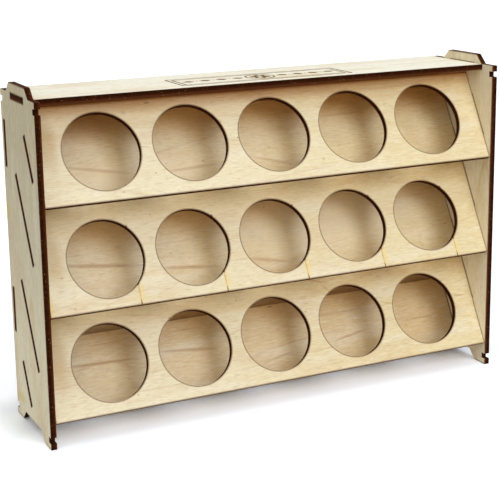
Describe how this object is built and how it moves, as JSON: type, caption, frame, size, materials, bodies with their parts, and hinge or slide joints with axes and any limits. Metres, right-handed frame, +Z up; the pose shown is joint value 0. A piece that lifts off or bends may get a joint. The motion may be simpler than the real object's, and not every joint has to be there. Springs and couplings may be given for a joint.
{
  "type": "paint stand",
  "caption": "Free-standing slot-together plywood rack with three rows of leaning boards, bored to hold round paint pots, between two side panels.",
  "frame": {"origin": "middle of the footprint, on the surface that the feet rest on", "axes": "+Z up, +X to the right along the rows, front (the bored faces) at -Y"},
  "size_m": [0.261, 0.057, 0.1765],
  "materials": {
    "left_side_panel": "bare birch plywood, laser cut, with charred edges",
    "right_side_panel": "bare birch plywood, laser cut, with charred edges",
    "top_panel": "bare birch plywood, laser cut, with charred edges",
    "pot_board_1": "bare birch plywood, laser cut, with charred edges",
    "pot_board_2": "bare birch plywood, laser cut, with charred edges",
    "pot_board_3": "bare birch plywood, laser cut, with charred edges",
    "bottom_rear_stop": "bare birch plywood, laser cut, with charred edges",
    "upper_back_rail": "bare birch plywood, laser cut, with charred edges",
    "lower_back_rail": "bare birch plywood, laser cut, with charred edges"
  },
  "bodies": {
    "root": {"left_side_panel": "left_side_panel", "right_side_panel": "right_side_panel", "top_panel": "top_panel", "pot_board_1": "pot_board_1", "pot_board_2": "pot_board_2", "pot_board_3": "pot_board_3", "bottom_rear_stop": "bottom_rear_stop", "upper_back_rail": "upper_back_rail", "lower_back_rail": "lower_back_rail"}
  },
  "joints": []
}
